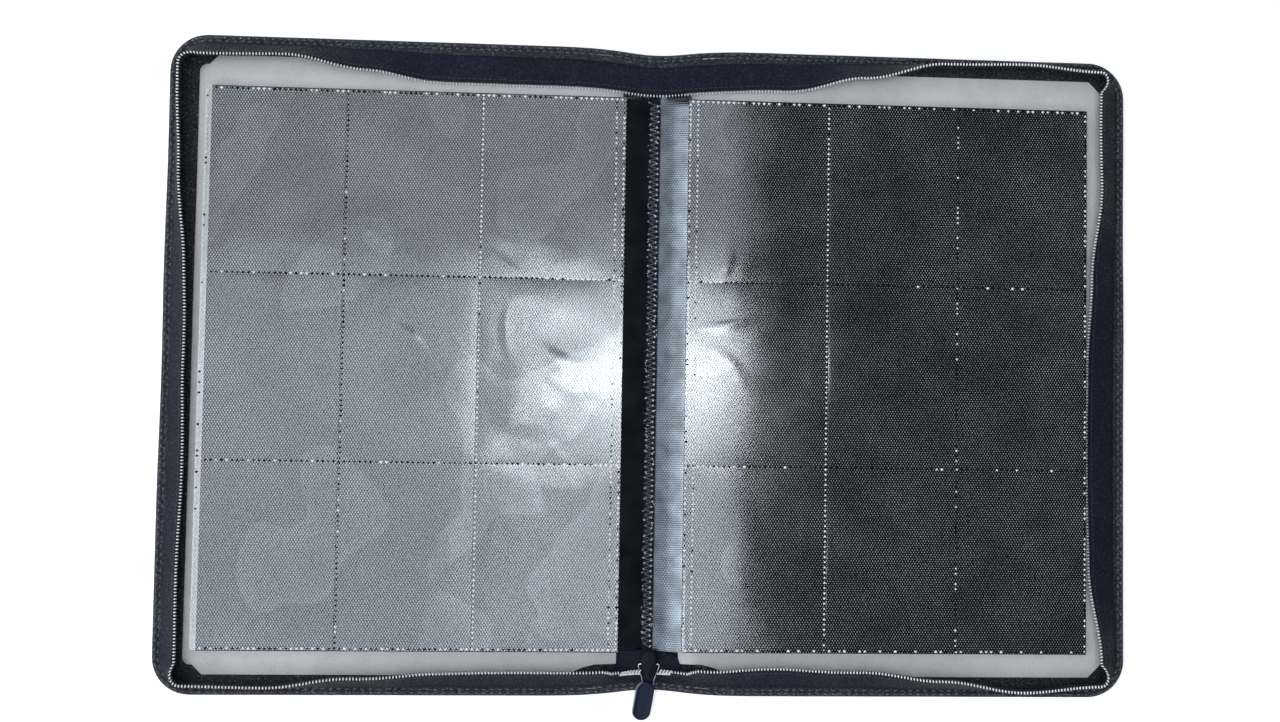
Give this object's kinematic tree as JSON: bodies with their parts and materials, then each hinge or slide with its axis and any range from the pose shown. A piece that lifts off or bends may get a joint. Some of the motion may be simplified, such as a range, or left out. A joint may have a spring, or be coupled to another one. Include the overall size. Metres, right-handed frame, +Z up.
{
  "type": "trading card binder",
  "caption": "Zip-around card binder lying open: padded covers on a flexible spine, pocket leaves sewn to it, coil zip tape standing round three sides, slider with a pull tab.",
  "frame": {"origin": "middle of the spine's underside, on the surface that the open binder lies on", "axes": "+X across the open binder from front cover to back cover, +Y along the spine towards the top edge, +Z up"},
  "size_m": [0.493, 0.3435, 0.0203],
  "materials": {
    "cover_cloth": "woven nylon, padded, edges rolled and topstitched",
    "stiffener": "plain board",
    "foam": "soft closed-cell padding",
    "lining": "light grey non-woven with a fine fleck",
    "tape": "navy twill",
    "coil": "moulded nylon coil, semi-gloss",
    "core_cord": "white filler cord",
    "slider": "semi-gloss dark enamel",
    "wire": "polished wire",
    "pull_tab": "satin moulded grip with a raised rim",
    "thread": "twisted polyester",
    "margin_cloth": "satin ribbed cloth",
    "backing": "black backing with a fine woven dot texture",
    "pocket_film": "clear film, glossy and gently waved",
    "leaf": "textured backing with clear film on both faces"
  },
  "bodies": {
    "back_cover": {"back_cover_skin": "cover_cloth", "back_cover_board": "stiffener", "back_cover_foam": "foam", "back_cover_lining": "lining", "back_cover_hem": "cover_cloth", "back_gutter_cloth": "cover_cloth", "back_zip_tape": "tape", "back_zip_coil": "coil"},
    "spine": {"spine_skin": "cover_cloth", "spine_board": "stiffener", "spine_lining": "tape", "binding_strip": "tape", "binding_stitch": "thread", "zip_bridge": "tape", "end_gusset": "tape", "zip_tails": "tape", "coil_ends": "core_cord", "slider_body": "slider", "back_margins": "margin_cloth", "front_margins": "margin_cloth"},
    "front_cover": {"front_cover_skin": "cover_cloth", "front_cover_board": "stiffener", "front_cover_foam": "foam", "front_cover_lining": "lining", "front_cover_hem": "cover_cloth", "front_gutter_cloth": "cover_cloth", "front_zip_tape": "tape", "front_zip_coil": "coil"},
    "back_edge_zip": {"back_edge_tape": "tape", "back_edge_coil": "coil"},
    "front_edge_zip": {"front_edge_tape": "tape", "front_edge_coil": "coil"},
    "back_pages": {"right_leaf_02": "leaf", "right_leaf_03": "leaf", "right_leaf_04": "leaf", "right_leaf_05": "leaf", "right_leaf_06": "leaf", "right_leaf_07": "leaf", "right_leaf_08": "leaf", "right_leaf_09": "leaf", "right_leaf_10": "leaf"},
    "front_pages": {"left_leaf_02": "leaf", "left_leaf_03": "leaf", "left_leaf_04": "leaf", "left_leaf_05": "leaf", "left_leaf_06": "leaf", "left_leaf_07": "leaf", "left_leaf_08": "leaf", "left_leaf_09": "leaf", "left_leaf_10": "leaf"},
    "right_leaf_01": {"right_leaf_01_margin": "margin_cloth", "right_leaf_01_backing": "backing", "right_leaf_01_front_film": "pocket_film", "right_leaf_01_back_film": "pocket_film"},
    "left_leaf_01": {"left_leaf_01_margin": "margin_cloth", "left_leaf_01_backing": "backing", "left_leaf_01_front_film": "pocket_film", "left_leaf_01_back_film": "pocket_film"},
    "pull": {"pull_wire": "wire", "pull_tab": "pull_tab"}
  },
  "joints": [
    {"name": "spine_fold", "type": "hinge", "parent": "back_cover", "child": "spine", "pos_m": [0.02, 0, 0.0004], "axis": [0, 1, 0], "range_deg": [0, 90], "deforming": ["back_gutter_cloth", "back_zip_tape", "back_zip_coil"]},
    {"name": "front_cover_fold", "type": "hinge", "parent": "spine", "child": "front_cover", "pos_m": [-0.02, 0, 0.0004], "axis": [0, 1, 0], "range_deg": [0, 90], "deforming": ["front_gutter_cloth", "front_zip_tape", "front_zip_coil", "zip_tails", "coil_ends"]},
    {"name": "back_pages_lie", "type": "hinge", "parent": "spine", "child": "back_pages", "pos_m": [0.0125, 0, 0.0074], "axis": [0, 1, 0], "range_deg": [-90, 0], "deforming": ["back_margins"]},
    {"name": "front_pages_lie", "type": "hinge", "parent": "spine", "child": "front_pages", "pos_m": [-0.0125, 0, 0.0074], "axis": [0, 1, 0], "range_deg": [0, 90], "deforming": ["front_margins"]},
    {"name": "right_leaf_01_turn", "type": "hinge", "parent": "back_pages", "child": "right_leaf_01", "pos_m": [0, 0, 0.01145], "axis": [0, 1, 0], "range_deg": [-179, 0], "deforming": ["right_leaf_01_margin"]},
    {"name": "left_leaf_01_turn", "type": "hinge", "parent": "front_pages", "child": "left_leaf_01", "pos_m": [0, 0, 0.01145], "axis": [0, -1, 0], "range_deg": [-179, 0], "deforming": ["left_leaf_01_margin"]},
    {"name": "back_edge_zip_rise", "type": "hinge", "parent": "back_cover", "child": "back_edge_zip", "pos_m": [0.2405, 0, 0.0052], "axis": [0, 1, 0], "range_deg": [0, 60], "deforming": ["back_edge_tape", "back_edge_coil"]},
    {"name": "front_edge_zip_rise", "type": "hinge", "parent": "front_cover", "child": "front_edge_zip", "pos_m": [-0.2411, 0, 0.0052], "axis": [0, -1, 0], "range_deg": [0, 45], "deforming": ["front_edge_tape", "front_edge_coil"]},
    {"name": "pull_swing", "type": "hinge", "parent": "spine", "child": "pull", "pos_m": [0, -0.1482, 0.0085], "axis": [-1, 0, 0], "range_deg": [0, 140]}
  ],
  "couplings": [
    {"joint": "back_pages_lie", "follows": "spine_fold", "ratio": -1},
    {"joint": "front_pages_lie", "follows": "front_cover_fold", "ratio": 1},
    {"joint": "back_edge_zip_rise", "follows": "spine_fold", "ratio": 0.66666},
    {"joint": "front_edge_zip_rise", "follows": "front_cover_fold", "ratio": 0.5}
  ]
}
